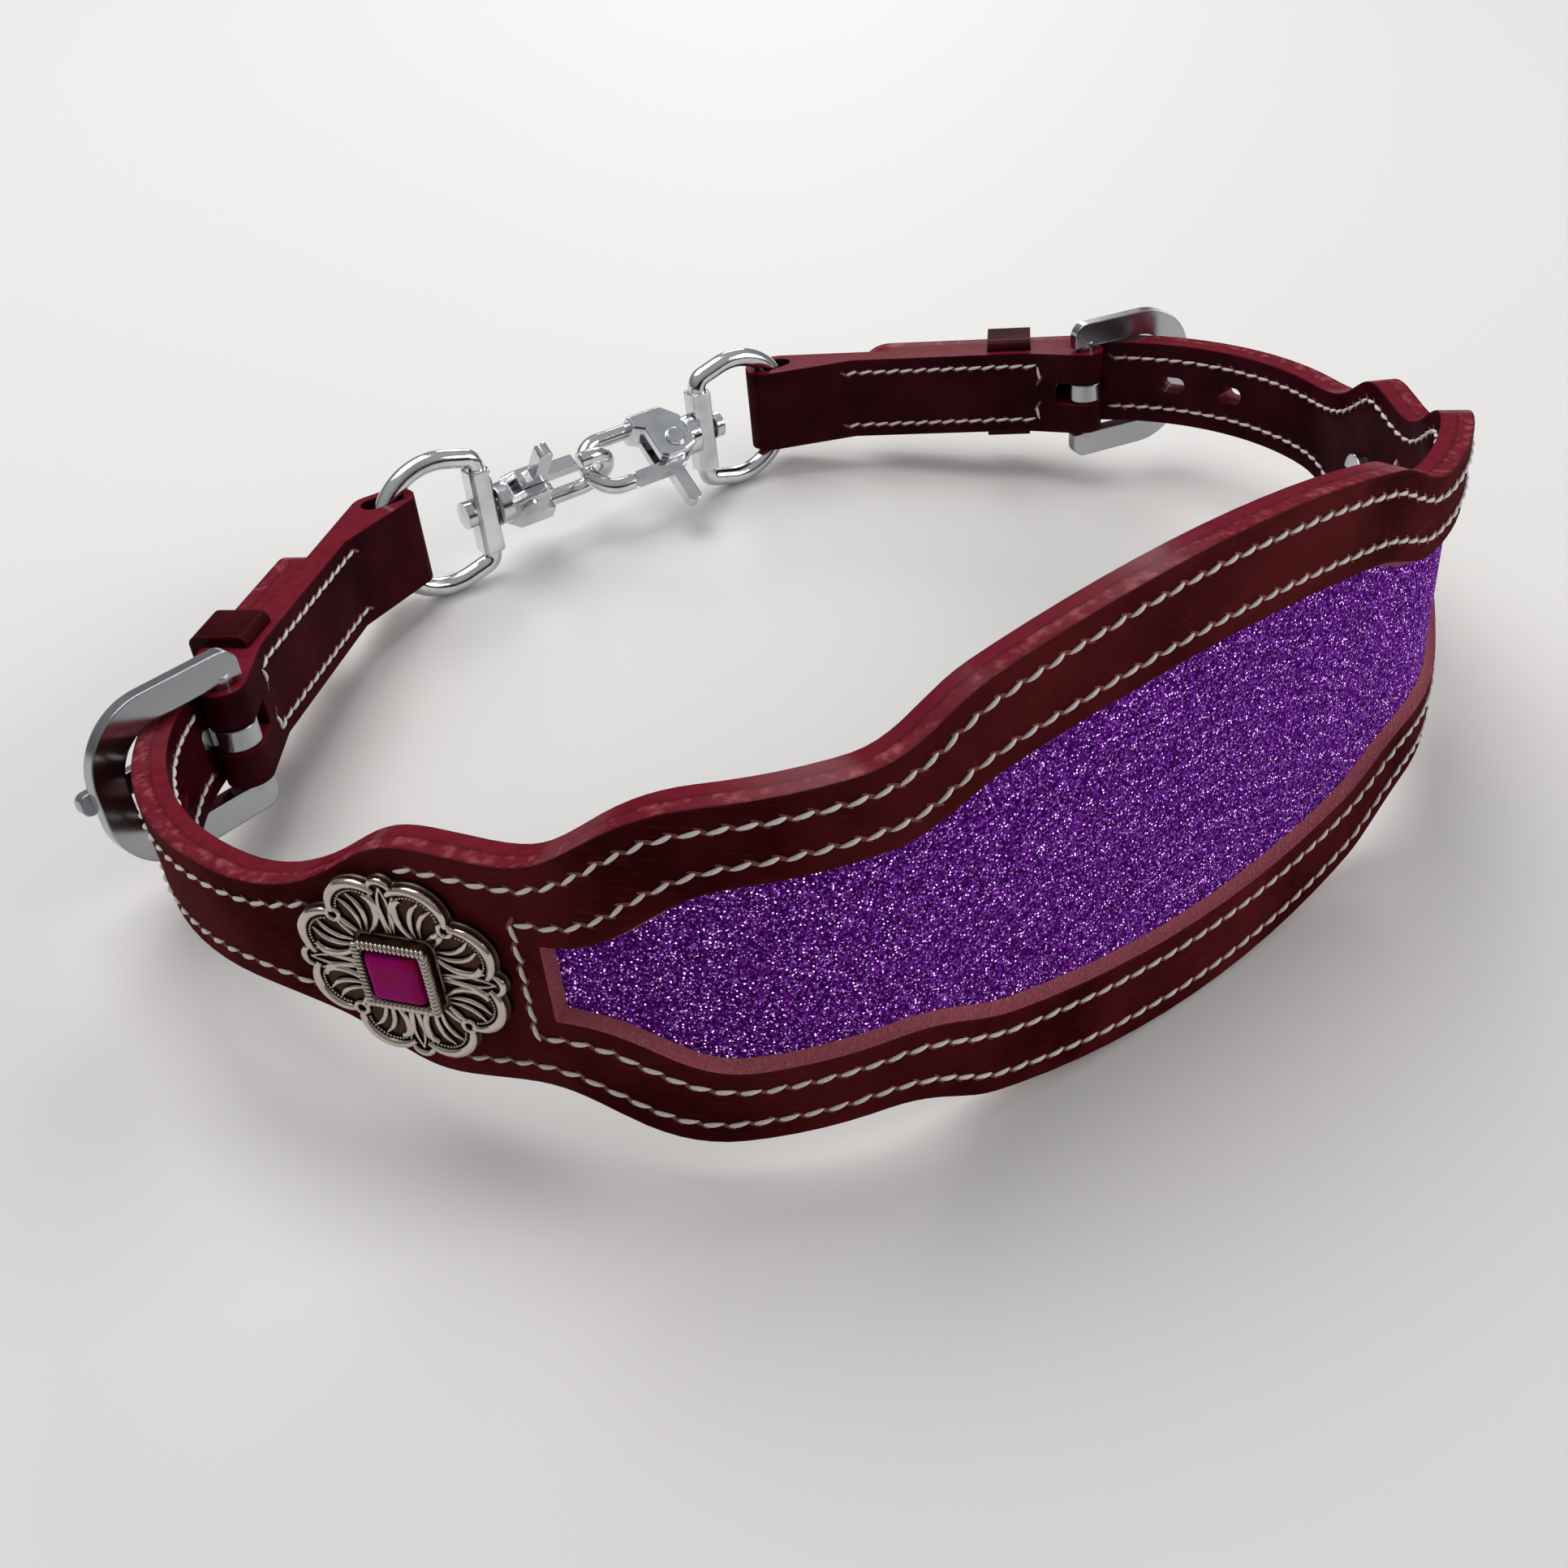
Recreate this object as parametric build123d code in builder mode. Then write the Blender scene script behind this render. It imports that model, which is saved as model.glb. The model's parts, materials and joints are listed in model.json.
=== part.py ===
"""Show noseband strap: scalloped leather panel, two conchos, two buckled ends and two linked snaps.

The strap is modelled as it stands on its edge in a closed loop.  It is built upright in a collar
frame (X to the right, Y to the back, Z across the leather, Z = 0 on the centre line of the strap)
and leaned back at the end until the crown of the panel and the two swivel eyes share one floor.
"""

import os
from math import atan, atan2, cos, degrees, radians, sin, sqrt

from build123d import *

# ---- flat leather: lengths are along the strap from its middle, heights from its centre line
crown_height = 41.5
crown_side_height = 36.6
crown_length = 42.0
flank_height = 29.4
flank_start = 62.0
flank_end = 82.0
seat_height = 19.6
seat_start = 109.0
seat_bulge = 0.7
shoulder_end = 158.0
strap_width = 19.0

# ---- the window in the outer leather and the glitter sheet behind it
window_crown = 25.5
window_side = 22.0
window_flank = 16.4
window_seat = 6.8
window_setback = 3.0
window_end = 107.0
inlay_margin = 4.5
inlay_thickness = 0.8

# ---- leather thicknesses
face_thickness = 2.8
lining_thickness = 2.6
chape_ply = 2.7
keeper_thickness = 2.0

# ---- how the strap bends as it stands, seen from above (right half, lengths on the outer face)
front_length = 52.0
front_turn = 7.2
flank_length = 56.0
flank_turn = 48.3
seat_length = 36.0
bend_length = 79.0
bend_turn = 80.1

# ---- billet
tip_length = 54.0
tip_radius = 8.0
hole_pitch = 16.0
hole_length = 6.0
hole_width = 3.6

# ---- buckle
bar_radius = 2.0
buckle_inside = 21.0
buckle_rim = 5.5
buckle_thickness = 3.5
buckle_reach = 22.0
buckle_corner = 13.0
buckle_bevel = 1.0
buckle_lift = 30.0
tongue_width = 4.0
tongue_thickness = 1.9
tongue_overhang = 3.0
tongue_play = 4.6

# ---- chape and keeper
chape_taper = 14.0
fold_ply = 2.1
keeper_width = 10.0
keeper_start = 12.5
keeper_leg = 1.6
fold_slot_width = 5.2
fold_slot_reach = 6.5

# ---- swivel eye
eye_wire = 4.2
eye_radius = 14.2
eye_depth = 10.0
eye_arm_angle = 75.0
eye_corner = 2.6
eye_bar_width = 5.0
eye_bar_thickness = 5.4
eye_play = 0.6

# ---- snap
hook_wire = 3.6
hook_radius = 6.2
hook_centre = 25.5
body_end = 15.0
body_top = 5.2
cheek_thickness = 2.2
gate_thickness = 3.0
gate_depth = 2.8
gate_pivot = 9.5
gate_pivot_height = 1.2
gate_hub = 2.9
gate_end = 22.9
rivet_radius = 1.5
rivet_head = 2.4
rivet_head_height = 0.7
post_radius = 1.6
post_head_radius = 3.0
post_head_height = 2.0
flange_radius = 4.6
flange_height = 2.2
tab_length = 9.0
tab_width = 3.2
link_slack = 1.4
snap_roll = 38.0

# ---- concho
concho_size = 32.5
concho_offset = 2.5
concho_lobes = 8
lobe_radius = 5.6
fan_radius = 2.3
fan_ring = 13.95
concho_plate = 1.5
bezel_size = 11.8
bezel_height = 3.6
bezel_wall = 1.7
stone_height = 4.6
post_barrel = 2.4
screw_head_radius = 4.5
screw_head_height = 1.1

# ---- clearances
running = 0.08
seat_gap = 0.3
loose_gap = 0.2
keeper_gap = 0.1

# ---- sizes that follow
leather = face_thickness + lining_thickness
half_strap = strap_width / 2
front_radius = front_length / radians(front_turn)
flank_radius = flank_length / radians(flank_turn)
bend_radius = bend_length / radians(bend_turn)
seat_middle = front_length + flank_length + seat_length / 2
concho_station = seat_middle + concho_offset
bar_station = front_length + flank_length + seat_length + bend_length
chape_thickness = 2 * chape_ply
chape_middle = leather + chape_ply
bar_depth = leather + fold_ply + running + bar_radius
runs = (
    (front_length, front_turn),
    (flank_length, flank_turn),
    (seat_length, 0),
    (bend_length, bend_turn),
)


def half_path(depth, stop):
    """Right half of the loop seen from above, `depth` inside the outer face, `stop` long."""
    start = Vector(0, depth)
    along = Vector(1, 0)
    done = 0.0
    with BuildLine() as path:
        for length, turn in runs:
            share = min(1.0, (stop - done) / length)
            if share <= 0:
                break
            if turn:
                radius = length / radians(turn) - depth
                piece = JernArc(start, along, radius, turn * share)
            else:
                piece = Line(start, start + along * (length * share))
            start = piece @ 1
            along = piece % 1
            done = done + length
    return path.line


spine = half_path(0, bar_station).wires()[0]


def on_spine(station):
    """Point, direction and inward normal of the outer face at a length from the middle."""
    point = spine.position_at(station, position_mode=PositionMode.LENGTH)
    along = spine.tangent_at(station, position_mode=PositionMode.LENGTH)
    return point, along, Vector(-along.Y, along.X)


def wrapped(station, height, depth):
    """Carry a point of the flat leather onto the standing loop."""
    side = -1 if station < 0 else 1
    point, along, inward = on_spine(abs(station))
    point = point + inward * depth
    return (side * point.X, point.Y, height)


def face_plane(station):
    """Plane on the outer face: x along the strap, y up, z outward."""
    point, along, inward = on_spine(station)
    return Plane(origin=point, x_dir=along, z_dir=inward * -1)


def band(near, far, stop):
    """Plan of the right half of one leather layer between two depths."""
    outer = half_path(near, stop)
    inner = half_path(far, stop)
    with BuildSketch() as plan:
        with BuildLine():
            add(outer)
            add(inner)
            Line(outer.wires()[0] @ 0, inner.wires()[0] @ 0)
            Line(outer.wires()[0] @ 1, inner.wires()[0] @ 1)
        make_face()
    return plan.sketch


def flat_edge(crown, side, flank, seat, shift, seat_rise, end, end_height):
    """Upper edge of the flat leather from its middle to `end`, as one line."""
    with BuildLine() as edge:
        top = TangentArc((0, crown), (crown_length - shift, side), tangent=(1, 0))
        drop = Spline(top @ 1, (flank_start - shift, flank), tangents=(top % 1, (1, 0)))
        level = Line(drop @ 1, (flank_end - shift, flank))
        if end_height:
            Spline(
                level @ 1,
                (seat_start, seat),
                (seat_middle, seat + seat_rise),
                (end, end_height),
                tangents=((1, 0), (1, 0)),
            )
        else:
            fall = Spline(level @ 1, (seat_start - shift, seat), tangents=((1, 0), (1, 0)))
            Line(fall @ 1, (end, seat))
    return edge.line.wires()[0]


def edge_trim(edge, near, far, top):
    """Solid above a flat edge that has been carried onto the loop, to trim a layer with."""
    samples = 40
    stations = [edge @ (i / samples) for i in range(samples + 1)]
    flat = [(-p.X, p.Y) for p in reversed(stations[1:])] + [(p.X, p.Y) for p in stations]
    with BuildLine() as outer:
        Spline(*[wrapped(s, h, near) for s, h in flat])
    with BuildLine() as inner:
        Spline(*[wrapped(s, h, far) for s, h in flat])
    rule = Face.make_surface_from_curves(outer.edges()[0], inner.edges()[0])
    with BuildPart() as trim:
        extrude(rule, amount=top, dir=(0, 0, 1))
    return trim.part


outline = flat_edge(
    crown_height, crown_side_height, flank_height, seat_height, 0, seat_bulge,
    shoulder_end, half_strap,
)
window_edge = flat_edge(
    window_crown, window_side, window_flank, window_seat, window_setback, 0, window_end, 0,
)
inlay_edge = flat_edge(
    window_crown + inlay_margin, window_side + inlay_margin, window_flank + inlay_margin,
    window_seat + inlay_margin, 0, 0, window_end + inlay_margin, 0,
)


def trimmed_layer(near, far, stop, edge):
    """Right half of a layer of the panel, trimmed to a flat edge above and below."""
    cut = edge_trim(edge, near - 2, far + 2, crown_height)
    with BuildPart() as layer:
        extrude(band(near, far, stop), amount=crown_height + 4, both=True)
        add(cut, mode=Mode.SUBTRACT)
        mirror(cut, about=Plane.XY, mode=Mode.SUBTRACT)
    return layer.part


def rod(edges, radius):
    """Round rod that follows arcs and straights one after the other."""
    with BuildPart() as bar:
        for edge in edges:
            with BuildSketch(Plane(origin=edge @ 0, z_dir=edge % 0)):
                Circle(radius)
            if edge.geom_type == GeomType.CIRCLE:
                turn = degrees(edge.length / edge.radius)
                revolve(axis=Axis(edge.arc_center, edge.normal()), revolution_arc=turn)
            else:
                extrude(amount=edge.length)
    return bar.part


# ---- planes at the right-hand end of the strap
end_point, heading, inward = on_spine(bar_station)
outward = inward * -1
end_plan = Plane(origin=end_point, x_dir=heading, z_dir=(0, 0, 1))
end_face = Plane(origin=end_point, x_dir=heading, z_dir=outward)


def from_end(u, depth):
    """Point a distance past the buckle bar and a depth inside the outer face."""
    return end_point + heading * u + inward * depth


bar_point = from_end(0, bar_depth)
lift = radians(buckle_lift)
buckle_axis = heading * -cos(lift) + outward * sin(lift)
buckle_out = heading * sin(lift) + outward * cos(lift)
buckle_plane = Plane(origin=bar_point, x_dir=buckle_axis, z_dir=buckle_out)

# where the tongue goes through the billet: its mid-line cuts the leather around this station
tongue_offset = bar_radius + running + tongue_thickness / 2
buckled_station = bar_station - 7.0

# ---- the snap chain closes the loop, so it sets how far the chape reaches
hook_reach = hook_centre + hook_radius + hook_wire / 2
chain_length = 2 * hook_reach - 2 * hook_wire - link_slack
eye_outer = eye_radius + eye_wire / 2
eye_inner = eye_radius - eye_wire / 2
pivot_back = (eye_outer + sqrt(eye_inner**2 - half_strap**2)) / 2
pivot_half_length = (eye_outer - sqrt(eye_inner**2 - half_strap**2)) / 2
pivot_to_bar = pivot_back + eye_depth
pivot_x = chain_length / 2 + pivot_to_bar
eye_swing = degrees(atan2(-inward.X, -heading.X))
pocket_length = 2 * pivot_half_length + 2 * seat_gap
pocket_height = eye_wire + 2 * eye_play
fold_half_length = (pocket_length - pocket_height) / 2
fold_radius = pocket_height / 2 + fold_ply
pivot_depth = leather + fold_half_length * sin(radians(eye_swing)) + fold_radius
chape_length = (from_end(0, pivot_depth).X - pivot_x) / -heading.X
eye_pivot = from_end(chape_length, pivot_depth)
chain_y = eye_pivot.Y
eye_centre = eye_pivot + Vector(-pivot_back, 0, 0)
eye_bar = eye_pivot + Vector(-pivot_to_bar, 0, 0)
eye_plane = Plane(origin=eye_centre, x_dir=(-1, 0, 0), z_dir=(0, 1, 0))
snap_plane = Plane(
    origin=eye_bar,
    x_dir=(-1, 0, 0),
    z_dir=(0, -sin(radians(snap_roll)), cos(radians(snap_roll))),
)

# ======================================================================= leather panel
with BuildPart() as glitter_inlay:
    add(trimmed_layer(face_thickness - inlay_thickness, face_thickness,
                      window_end + inlay_margin, inlay_edge))
    mirror(about=Plane.YZ)
glitter_inlay.part.label = "glitter_inlay"

with BuildPart() as window:
    add(trimmed_layer(-1, face_thickness, window_end, window_edge))
    mirror(about=Plane.YZ)


def strap_tail(near, far):
    """Straight end of the billet past the buckle bar, with its rounded tip."""
    with BuildPart() as tail:
        with BuildSketch(end_face.offset(-far)):
            with Locations((tip_length / 2, 0)):
                Rectangle(tip_length, strap_width)
            fillet(vertices().group_by(Axis.X)[-1], tip_radius)
        extrude(amount=far - near)
    return tail.part


def billet(near, far):
    """The strap from the panel's shoulder through its bend to the tip."""
    with BuildPart() as strap:
        extrude(band(near, far, bar_station), amount=half_strap, both=True)
        add(strap_tail(near, far))
        with BuildSketch(Plane.XY.offset(-half_strap)):
            add(band(near - 1, far + 1, seat_middle))
        extrude(amount=strap_width, mode=Mode.SUBTRACT)
    return strap.part


hole_stations = [
    buckled_station - 2 * hole_pitch,
    buckled_station - hole_pitch,
]
tip_holes = [
    buckled_station + hole_pitch - bar_station,
    buckled_station + 2 * hole_pitch - bar_station,
]

with BuildPart() as right_holes:
    for station in hole_stations:
        with BuildSketch(face_plane(station).offset(1)):
            SlotOverall(hole_length, hole_width)
        extrude(amount=-leather - 2)
    with BuildSketch(end_face.offset(1)):
        for u in tip_holes:
            with Locations((u, 0)):
                SlotOverall(hole_length, hole_width)
    extrude(amount=-leather - 2)
    with BuildSketch(
        Plane(
            origin=bar_point + buckle_out * (tongue_offset + 0.45),
            x_dir=(0, 0, 1),
            z_dir=buckle_axis,
        )
    ):
        RectangleRounded(tongue_width + 0.8, tongue_play, 1.5)
    extrude(amount=buckle_reach)
    with BuildSketch(face_plane(concho_station).offset(1)):
        Circle(post_barrel + seat_gap)
    extrude(amount=-leather - 2)


with BuildPart() as panel_face:
    add(trimmed_layer(0, face_thickness, shoulder_end, outline))
    add(billet(0, face_thickness))
    add(right_holes.part, mode=Mode.SUBTRACT)
    mirror(about=Plane.YZ)
    add(window.part, mode=Mode.SUBTRACT)
    add(glitter_inlay.part, mode=Mode.SUBTRACT)
panel_face.part.label = "panel_face"

with BuildPart() as panel_lining:
    add(trimmed_layer(face_thickness, leather, shoulder_end, outline))
    add(billet(face_thickness, leather))
    add(right_holes.part, mode=Mode.SUBTRACT)
    mirror(about=Plane.YZ)
panel_lining.part.label = "panel_lining"


# ======================================================================= chape and keeper
with BuildPart() as chape_right:
    with BuildSketch(end_plan) as bar_fold:
        with Locations((0, bar_depth)):
            Circle(bar_radius + running + fold_ply)
        with Locations((chape_taper, chape_middle)):
            Rectangle(0.4, chape_thickness)
        make_hull()
    extrude(amount=half_strap, both=True)
    with BuildSketch(end_plan) as eye_fold:
        with Locations((chape_length, pivot_depth)):
            SlotOverall(
                2 * (fold_half_length + fold_radius), 2 * fold_radius, rotation=eye_swing
            )
        with Locations((chape_length - chape_taper - fold_radius, chape_middle)):
            Rectangle(0.4, chape_thickness)
        make_hull()
    extrude(amount=half_strap, both=True)
    with BuildSketch(end_plan) as straight:
        with Locations(((chape_length - fold_radius) / 2, chape_middle)):
            Rectangle(chape_length - fold_radius - 2 * chape_taper, chape_thickness)
    extrude(amount=half_strap, both=True)
    with BuildSketch(end_plan) as bores:
        with Locations((0, bar_depth)):
            Circle(bar_radius + running)
        with Locations((chape_length, pivot_depth)):
            SlotOverall(pocket_length, pocket_height, rotation=eye_swing)
    extrude(amount=half_strap, both=True, mode=Mode.SUBTRACT)
    with BuildSketch(end_plan) as tongue_slot:
        with Locations((0, bar_depth)):
            Rectangle(2 * fold_slot_reach, 3 * bar_depth)
    extrude(amount=fold_slot_width / 2, both=True, mode=Mode.SUBTRACT)
    with BuildSketch(end_plan) as keeper_slot:
        with Locations((keeper_start + keeper_width / 2, chape_middle)):
            Rectangle(keeper_width + 2 * keeper_gap, keeper_leg + 2 * keeper_gap)
    extrude(amount=half_strap, both=True, mode=Mode.SUBTRACT)
chape_right.part.label = "chape_right"

# the keeper goes round the billet alone: its inner leg lies between the plies of the chape
keeper_near = -loose_gap - keeper_thickness
keeper_far = chape_middle + keeper_leg / 2
keeper_plane = Plane(
    origin=from_end(keeper_start, (keeper_near + keeper_far) / 2),
    x_dir=(0, 0, 1),
    z_dir=heading,
)
keeper_span = strap_width + 2 * loose_gap
with BuildPart() as keeper_right:
    with BuildSketch(keeper_plane):
        RectangleRounded(
            keeper_span + 2 * keeper_thickness,
            keeper_far - keeper_near,
            keeper_thickness - 0.3,
        )
    extrude(amount=keeper_width)
    with BuildSketch(end_plan):
        with Locations(
            (
                keeper_start + keeper_width / 2,
                (chape_middle - keeper_leg / 2 - loose_gap) / 2,
            )
        ):
            Rectangle(keeper_width + 2, chape_middle - keeper_leg / 2 + loose_gap)
    extrude(amount=keeper_span / 2, both=True, mode=Mode.SUBTRACT)
keeper_right.part.label = "keeper_right"

# ======================================================================= buckle
buckle_heel = bar_radius + 1.4
buckle_length = buckle_heel + buckle_reach + buckle_rim
with BuildPart() as buckle_frame_right:
    with BuildSketch(buckle_plane):
        with Locations((buckle_length / 2 - buckle_heel, 0)):
            Rectangle(buckle_length, buckle_inside + 2 * buckle_rim)
        fillet(vertices().group_by(Axis.X)[-1], buckle_corner)
        fillet(vertices().group_by(Axis.X)[0], buckle_heel - 0.4)
    extrude(amount=buckle_thickness / 2, both=True)
    outer_rim = faces().sort_by(Axis(bar_point, buckle_out))[-1].edges()
    chamfer(outer_rim, buckle_bevel)
    with BuildSketch(buckle_plane):
        with Locations((buckle_reach / 2 - buckle_heel, 0)):
            Rectangle(buckle_reach + 2 * buckle_heel, buckle_inside)
        fillet(vertices().group_by(Axis.X)[-1], buckle_corner - buckle_rim + 1)
    extrude(amount=buckle_thickness, both=True, mode=Mode.SUBTRACT)
    with BuildSketch(Plane(origin=bar_point, x_dir=buckle_axis, z_dir=(0, 0, 1))):
        Circle(bar_radius)
    extrude(amount=buckle_inside / 2 + 1, both=True)
buckle_frame_right.part.label = "buckle_frame_right"

tongue_length = buckle_reach + buckle_rim + tongue_overhang - 1.5
curl = bar_radius + running
tongue_plan = Plane(
    origin=bar_point, x_dir=buckle_axis, z_dir=buckle_axis.cross(buckle_out)
)
with BuildPart() as buckle_tongue_right:
    with BuildSketch(tongue_plan):
        Circle(curl + tongue_thickness)
        with Locations((tongue_length / 2, curl + tongue_thickness / 2)):
            Rectangle(tongue_length, tongue_thickness)
        Circle(curl, mode=Mode.SUBTRACT)
    extrude(amount=tongue_width / 2, both=True)
    tip_edges = edges().group_by(Axis(bar_point, buckle_axis))[-1].filter_by(
        lambda e: abs(e.tangent_at(0.5).dot(buckle_out)) > 0.9
    )
    fillet(tip_edges, tongue_width / 2 - 0.4)
buckle_tongue_right.part.label = "buckle_tongue_right"

# ======================================================================= swivel eye
with BuildPart() as eye_form:
    with BuildLine() as ring:
        bow = CenterArc((0, 0), eye_radius, eye_arm_angle, 360 - 2 * eye_arm_angle)
        arm_drop = (eye_depth - (bow @ 0).X) / (bow @ 0).Y * (bow @ 0).X
        corner_height = (bow @ 0).Y - arm_drop
        Polyline(
            bow @ 0,
            (eye_depth, corner_height),
            (eye_depth, -corner_height),
            bow @ 1,
        )
        fillet(ring.vertices().group_by(Axis.X)[-1], eye_corner)
    add(rod(ring.edges(), eye_wire / 2))
    with Locations((eye_depth, 0, 0)):
        Box(eye_bar_width, 2 * corner_height - 2 * eye_corner, eye_bar_thickness)
    bar_edges = edges().filter_by(Axis.Y).group_by(SortBy.LENGTH)[-1]
    chamfer(bar_edges, 0.8)
    with BuildSketch(Plane(origin=(eye_depth, 0, 0), z_dir=(1, 0, 0))):
        Circle(post_radius + running)
    extrude(amount=eye_bar_width, both=True, mode=Mode.SUBTRACT)

with BuildPart() as swivel_eye_right:
    with Locations(eye_plane):
        add(eye_form.part)
swivel_eye_right.part.label = "swivel_eye_right"

# ======================================================================= snap
half_bar = eye_bar_width / 2
flange_start = half_bar + seat_gap
flange_end = flange_start + flange_height
half_body = gate_thickness / 2 + 0.15 + cheek_thickness
spine_low = -hook_radius - hook_wire / 2
spine_top = -hook_radius + hook_wire / 2
with BuildPart() as hook_form:
    with BuildSketch():
        with BuildLine():
            Polyline(
                (flange_end, -flange_radius + 0.6),
                (gate_pivot - 0.8, spine_low + 0.2),
                (body_end + 2.5, spine_low + 0.3),
                (body_end + 2.5, spine_top),
                (body_end, spine_top + 1.4),
                (body_end, body_top - 0.8),
                (body_end - 1.5, body_top),
                (gate_pivot - 1.0, body_top),
                (flange_end, flange_radius - 0.6),
                close=True,
            )
        make_face()
    extrude(amount=half_body, both=True)
    chamfer(faces().filter_by(Axis.Z).edges(), 0.5)
    with BuildSketch():
        with BuildLine():
            Polyline(
                (gate_pivot - gate_hub - 0.4, gate_pivot_height - gate_hub + 0.2),
                (gate_pivot - gate_hub - 0.4, body_top + 3),
                (body_end + 3, body_top + 3),
                (body_end + 3, spine_top + 0.4),
                (gate_pivot + 1.0, gate_pivot_height - gate_hub - 0.4),
                (gate_pivot - 1.4, gate_pivot_height - gate_hub - 0.4),
                close=True,
            )
        make_face()
    extrude(amount=gate_thickness / 2 + 0.15, both=True, mode=Mode.SUBTRACT)
    with BuildLine() as bow_path:
        back = Line((body_end - 1, -hook_radius), (hook_centre, -hook_radius))
        bow = CenterArc((hook_centre, 0), hook_radius, -90, 180)
        Line(bow @ 1, (gate_end + seat_gap, hook_radius))
    add(rod(bow_path.edges(), hook_wire / 2))
    with BuildSketch(Plane(origin=(flange_start, 0, 0), z_dir=(1, 0, 0))):
        Circle(flange_radius)
    extrude(amount=flange_height + 0.6)
    post_start = -half_bar - seat_gap - post_head_height
    with BuildSketch(Plane(origin=(post_start, 0, 0), z_dir=(1, 0, 0))):
        Circle(post_radius)
    extrude(amount=flange_start - post_start)
    with BuildSketch(Plane(origin=(post_start, 0, 0), z_dir=(1, 0, 0))):
        Circle(post_head_radius)
    extrude(amount=post_head_height)
    with BuildSketch():
        with Locations((gate_pivot, gate_pivot_height)):
            Circle(rivet_radius)
    extrude(amount=half_body + 1, both=True, mode=Mode.SUBTRACT)

gate_top = hook_radius + gate_depth / 2
gate_low = hook_radius - gate_depth / 2
with BuildPart() as gate_form:
    with BuildSketch():
        with BuildLine():
            Polyline(
                (gate_pivot - gate_hub, gate_pivot_height),
                (gate_pivot - 0.6, gate_top - 0.6),
                (gate_pivot + 1.2, gate_top),
                (gate_end - 1.6, gate_top),
                (gate_end - 0.9, gate_top - 0.9),
                (gate_end - 0.25, gate_low + 0.4),
                (gate_end - 0.7, gate_low),
                (gate_pivot + 5.0, gate_low),
                (gate_pivot + gate_hub - 0.3, gate_pivot_height - 0.8),
                close=True,
            )
        make_face()
        with Locations((gate_pivot, gate_pivot_height)):
            Circle(gate_hub)
        with Locations((gate_pivot + 2.6, gate_top + tab_length / 2 - 1.0)):
            RectangleRounded(tab_width, tab_length + 2.0, tab_width / 2 - 0.2)
        with Locations((gate_pivot, gate_pivot_height)):
            Circle(rivet_radius + running, mode=Mode.SUBTRACT)
    extrude(amount=gate_thickness / 2, both=True)

with BuildPart() as rivet_form:
    with BuildSketch(Plane.XY.offset(-half_body)):
        with Locations((gate_pivot, gate_pivot_height)):
            Circle(rivet_radius)
    extrude(amount=2 * half_body)
    for level, way in ((half_body, 1), (-half_body, -1)):
        with BuildSketch(Plane.XY.offset(level)):
            with Locations((gate_pivot, gate_pivot_height)):
                Circle(rivet_head)
        extrude(amount=way * rivet_head_height, taper=25)

with BuildPart() as snap_hook_right:
    with Locations(snap_plane):
        add(hook_form.part)
snap_hook_right.part.label = "snap_hook_right"

with BuildPart() as snap_gate_right:
    with Locations(snap_plane):
        add(gate_form.part)
snap_gate_right.part.label = "snap_gate_right"

with BuildPart() as gate_rivet_right:
    with Locations(snap_plane):
        add(rivet_form.part)
gate_rivet_right.part.label = "gate_rivet_right"

# ======================================================================= concho
concho_plane = face_plane(concho_station)
lobe_ring = concho_size / 2 - lobe_radius
with BuildPart() as concho_right:
    with BuildSketch(concho_plane):
        Circle(lobe_ring + lobe_radius * 0.3)
        with PolarLocations(lobe_ring, concho_lobes, start_angle=180 / concho_lobes):
            Circle(lobe_radius)
        with PolarLocations(fan_ring, 4):
            Circle(fan_radius)
    extrude(amount=concho_plate)
    top_rim = faces().sort_by(Axis(concho_plane.origin, concho_plane.z_dir))[-1].edges()
    chamfer(top_rim, 0.6)
    with BuildSketch(concho_plane.offset(concho_plate)):
        RectangleRounded(bezel_size, bezel_size, 1.6)
        RectangleRounded(
            bezel_size - 2 * bezel_wall, bezel_size - 2 * bezel_wall, 0.8, mode=Mode.SUBTRACT
        )
    extrude(amount=bezel_height - concho_plate, taper=12)
    with BuildSketch(concho_plane):
        Circle(post_barrel)
    extrude(amount=-leather)
    with BuildSketch(concho_plane.offset(-leather)):
        Circle(post_barrel - 0.9 + running)
    extrude(amount=leather - 0.6, mode=Mode.SUBTRACT)
concho_right.part.label = "concho_right"

stone_size = bezel_size - 2 * bezel_wall - 0.1
with BuildPart() as concho_stone_right:
    with BuildSketch(concho_plane.offset(concho_plate)):
        RectangleRounded(stone_size, stone_size, 0.8)
    extrude(amount=stone_height - concho_plate)
    crown = faces().sort_by(Axis(concho_plane.origin, concho_plane.z_dir))[-1].edges()
    fillet(crown, 1.6)
concho_stone_right.part.label = "concho_stone_right"

with BuildPart() as concho_screw_right:
    with BuildSketch(concho_plane.offset(-leather)):
        Circle(screw_head_radius)
    extrude(amount=-screw_head_height)
    with BuildSketch(concho_plane.offset(-leather - screw_head_height)):
        Rectangle(2 * screw_head_radius, 1.0)
    extrude(amount=0.6, mode=Mode.SUBTRACT)
    with BuildSketch(concho_plane.offset(-leather)):
        Circle(post_barrel - 0.9)
    extrude(amount=leather - 1.2)
concho_screw_right.part.label = "concho_screw_right"


# ======================================================================= left-hand pieces
def mirrored(piece, label):
    """The same piece on the other side of the loop."""
    with BuildPart() as twin:
        mirror(piece, about=Plane.YZ)
    twin.part.label = label
    return twin.part


def linked(piece, label):
    """The other snap: mirrored, then a quarter turn about the chain so that the hooks link."""
    twin = mirrored(piece, label).rotate(Axis((0, chain_y, 0), (1, 0, 0)), -90)
    twin.label = label
    return twin


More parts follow.
